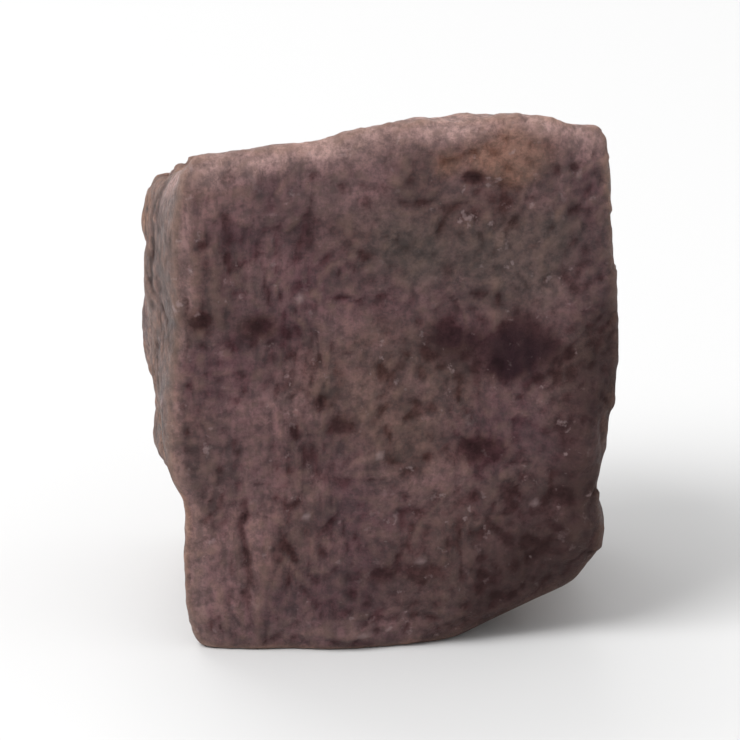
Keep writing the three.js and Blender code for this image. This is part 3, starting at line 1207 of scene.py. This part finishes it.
    def outside(self, nodes: NodeBuilder, mm: Socket) -> Socket:
        """The colour of the dried sides: brown, in patches, with fat, sinews and a crumbly grain.

        Args:
            nodes: The material's nodes.
            mm: The place in millimetres.

        Returns:
            The colour.
        """
        colour = nodes.mix(nodes.blotches(mm, self.side_bark), linear(self.umber), linear(self.bark))
        colour = nodes.mix(nodes.blotches(mm, self.side_tan), colour, linear(self.tan))
        colour = nodes.mix(nodes.blotches(mm, self.side_plum), colour, linear(self.purple))
        colour = nodes.mix(nodes.blotches(mm, self.side_fat), colour, linear(self.ochre))
        vein = nodes.vein(mm, self.sinew_scale)
        sinew = nodes.spread(vein, self.sinew_half_width, 0.0, 0.0, self.sinew_share)
        colour = nodes.mix(sinew, colour, linear(self.sinew))
        colour = nodes.mix(nodes.blotches(mm, self.dark_crumbs), colour, linear(self.deep))
        return nodes.mix(nodes.blotches(mm, self.pale_crumbs), colour, linear(self.crest))

    def toned(
        self, nodes: NodeBuilder, colour: Socket, mm: Socket, along: Socket, grain: Socket
    ) -> Socket:
        """A colour made darker and lighter in streaks along the fibres and in patches, and by painted
        shade
        and highlight on the fine grain: darker in its low places, lighter on its high ones.

        Args:
            nodes: The material's nodes.
            colour: The colour.
            mm: The place in millimetres.
            along: The same, drawn out along the fibres.
            grain: The finest relief.

        Returns:
            The uneven colour.
        """
        streaks = nodes.times(nodes.blotches(along, self.streaks), nodes.mark(Mark.FIBRE))
        colour = nodes.shade(colour, nodes.plus(streaks, 1.0))
        colour = nodes.shade(colour, nodes.blotches(mm, self.broad_tones))
        colour = nodes.shade(colour, nodes.blotches(mm, self.fine_tones))
        # Painted shade and highlight: darker where the fine grain is low, lighter where it is high.
        return nodes.shade(colour, nodes.spread(grain, *self.grain_relief_shade))

    def colour(self, nodes: NodeBuilder, mm: Socket, along: Socket, grain: Socket) -> Socket:
        """The colour over the surface.

        Args:
            nodes: The material's nodes.
            mm: The place in millimetres.
            along: The same, drawn out along the fibres.
            grain: The finest relief.

        Returns:
            The colour.
        """
        # Below: grey and skin tints, a painted highlight along the front's top and left edges, and fat.
        below = (
            Coat(Mark.GREY, 0.7, self.grey), Coat(Mark.SKIN, 0.75, self.skin),
            Coat(Mark.RIM_HIGHLIGHT, 0.85, self.rim_highlight), Coat(Mark.FAT, 0.7, self.fat),
        )
        # Above: painted shade on the right and lower front, the smudge, and painted shade in the pits
        # and hollows.
        above = (
            Coat(Mark.PAINTED_SHADE, 0.68, self.shade), Coat(Mark.SMUDGE, 0.85, self.smudge),
            Coat(Mark.PIT_SHADE, 0.6, self.pit_shade), Coat(Mark.HOLLOW_SHADE, 0.65, self.deep),
        )
        cut = nodes.mark(Mark.CUT)
        colour = nodes.mix(cut, self.outside(nodes, mm), self.cut_face(nodes, mm))
        colour = self.toned(nodes, nodes.coated(colour, below), mm, along, grain)
        # Painted highlight on the crests.
        crest = nodes.times(nodes.mark(Mark.CREST_HIGHLIGHT), nodes.spread(cut, 0.0, 1.0, *self.crest_shares))
        colour = nodes.mix(crest, colour, linear(self.crest))
        colour = nodes.coated(colour, above)
        # Painted shade in the creases.
        crease = nodes.times(nodes.mark(Mark.CREASE), nodes.spread(cut, 0.0, 1.0, *self.crease_shares))
        colour = nodes.mix(crease, colour, linear(self.deep))
        # Painted glints in the pale flecks.
        return nodes.mix(self.glint_specks(nodes, mm), colour, linear(self.glint_speck))

    def glint_specks(self, nodes: NodeBuilder, mm: Socket) -> Socket:
        """The pale flecks, painted glints: scattered ragged ones under a millimetre wide, and the marked
        ones.

        Args:
            nodes: The material's nodes.
            mm: The place in millimetres.

        Returns:
            How much of a painted glint a place is, from 0 to 1.
        """
        scattered = nodes.times(nodes.blotches(mm, self.flecks), nodes.blotches(mm, self.fleck_patches))
        return nodes.plus(scattered, nodes.times(nodes.mark(Mark.GLINT_SPECK), self.speck_share))

    def gloss(self, nodes: NodeBuilder) -> Socket:
        """How much the surface shines: less in the smudge and wherever shade is painted.

        Args:
            nodes: The material's nodes.

        Returns:
            The strength of the shine.
        """
        smudge_and_pit_shade = nodes.plus(nodes.mark(Mark.SMUDGE), nodes.mark(Mark.PIT_SHADE))
        sunk = nodes.plus(nodes.mark(Mark.CREASE), nodes.mark(Mark.HOLLOW_SHADE))
        shaded = nodes.times(nodes.mark(Mark.PAINTED_SHADE), self.shade_dullness)
        dullness = nodes.plus(nodes.plus(smudge_and_pit_shade, sunk), shaded)
        return nodes.spread(dullness, 0.0, self.full_dullness, *self.gloss_range)


@dataclass(frozen=True)
class FloorFinish:
    """Plain studio floor, a light grey that the light turns white."""

    name: str = "studio_floor"
    tone: float = 0.64
    roughness: float = 0.7

    def build(self) -> bpy.types.Material:
        """Makes the material.

        Returns:
            The finished material.
        """
        nodes = NodeBuilder(self.name)
        inputs = {"Base Color": (self.tone, self.tone, self.tone, 1.0), "Roughness": self.roughness}
        shader = nodes.add("ShaderNodeBsdfPrincipled", inputs)
        nodes.add("ShaderNodeOutputMaterial", {"Surface": shader.outputs["BSDF"]})
        return nodes.material


@dataclass(frozen=True)
class Lamp:
    """A soft square light, its place and size in metres and its power in watts."""

    name: str
    place: tuple[float, float, float]
    size: float
    power: float

    def build(self, aim: Vector) -> bpy.types.Object:
        """Hangs the lamp and turns it to the point that it lights.

        Args:
            aim: That point.

        Returns:
            The lamp, in the scene.
        """
        data = bpy.data.lights.new(self.name, "AREA")
        data.size = self.size
        data.energy = self.power
        lamp = bpy.data.objects.new(self.name, data)
        lamp.location = self.place
        lamp.rotation_euler = (aim - lamp.location).to_track_quat("-Z", "Y").to_euler()
        bpy.context.scene.collection.objects.link(lamp)
        return lamp


@dataclass
class Studio:
    """The pale floor, the soft light and the camera, in metres and degrees."""

    floor_half: float = 3.0
    sky: float = 0.76
    lamps: tuple[Lamp, ...] = (
        Lamp("key_lamp", (-0.30, -0.20, 0.44), 0.32, 2.9),
        Lamp("back_lamp", (-0.10, 0.38, 0.42), 0.40, 1.0),
    )
    aim: tuple[float, float, float] = (0.0, 0.0, 0.0102)
    azimuth: float = -5.0
    elevation: float = 18.0
    distance: float = 0.42
    frame_width: float = 0.033
    nearest: float = 0.01

    def build(self) -> None:
        """Sets up the floor, the light and the camera."""
        self.floor()
        self.light()
        self.camera()

    def floor(self) -> None:
        """The floor that the piece stands on."""
        surface = bmesh.new()
        bmesh.ops.create_grid(surface, x_segments=1, y_segments=1, size=self.floor_half)
        mesh = bpy.data.meshes.new("floor")
        surface.to_mesh(mesh)
        surface.free()
        mesh.materials.append(FloorFinish().build())
        floor = bpy.data.objects.new("floor", mesh)
        bpy.context.scene.collection.objects.link(floor)

    def light(self) -> None:
        """An even white surrounding and the soft lamps."""
        world = bpy.data.worlds.new("studio")
        world.use_nodes = True
        background = world.node_tree.nodes["Background"]
        background.inputs["Color"].default_value = (1.0, 1.0, 1.0, 1.0)
        background.inputs["Strength"].default_value = self.sky
        bpy.context.scene.world = world
        bpy.context.scene.view_settings.view_transform = "Standard"
        for lamp in self.lamps:
            lamp.build(Vector(self.aim))

    def camera(self) -> None:
        """The camera, from the front, a little left and above."""
        data = bpy.data.cameras.new("camera")
        data.lens = data.sensor_width * self.distance / self.frame_width
        data.clip_start = self.nearest
        camera = bpy.data.objects.new("camera", data)
        turn = math.radians(self.azimuth)
        tilt = math.radians(self.elevation)
        level = math.cos(tilt)
        back = Vector((math.sin(turn) * level, -math.cos(turn) * level, math.sin(tilt)))
        camera.location = Vector(self.aim) + back * self.distance
        camera.rotation_euler = (-back).to_track_quat("-Z", "Y").to_euler()
        bpy.context.scene.collection.objects.link(camera)
        bpy.context.scene.camera = camera


def main() -> None:
    """Builds the piece and its studio."""
    logging.basicConfig(level=logging.INFO, format="%(message)s")
    cube = VenisonCube()
    piece = cube.build()
    piece.data.materials.append(DriedMeatFinish().build())
    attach(piece, "root")
    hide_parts(cube.node)
    triangles = sum(len(polygon.vertices) - 2 for polygon in piece.data.polygons)
    log.info("%s: %d points, %d triangles", piece.name, len(piece.data.vertices), triangles)
    Studio().build()
    log.info("studio: floor, surrounding light, lamps and camera")


if __name__ == "__main__":
    main()
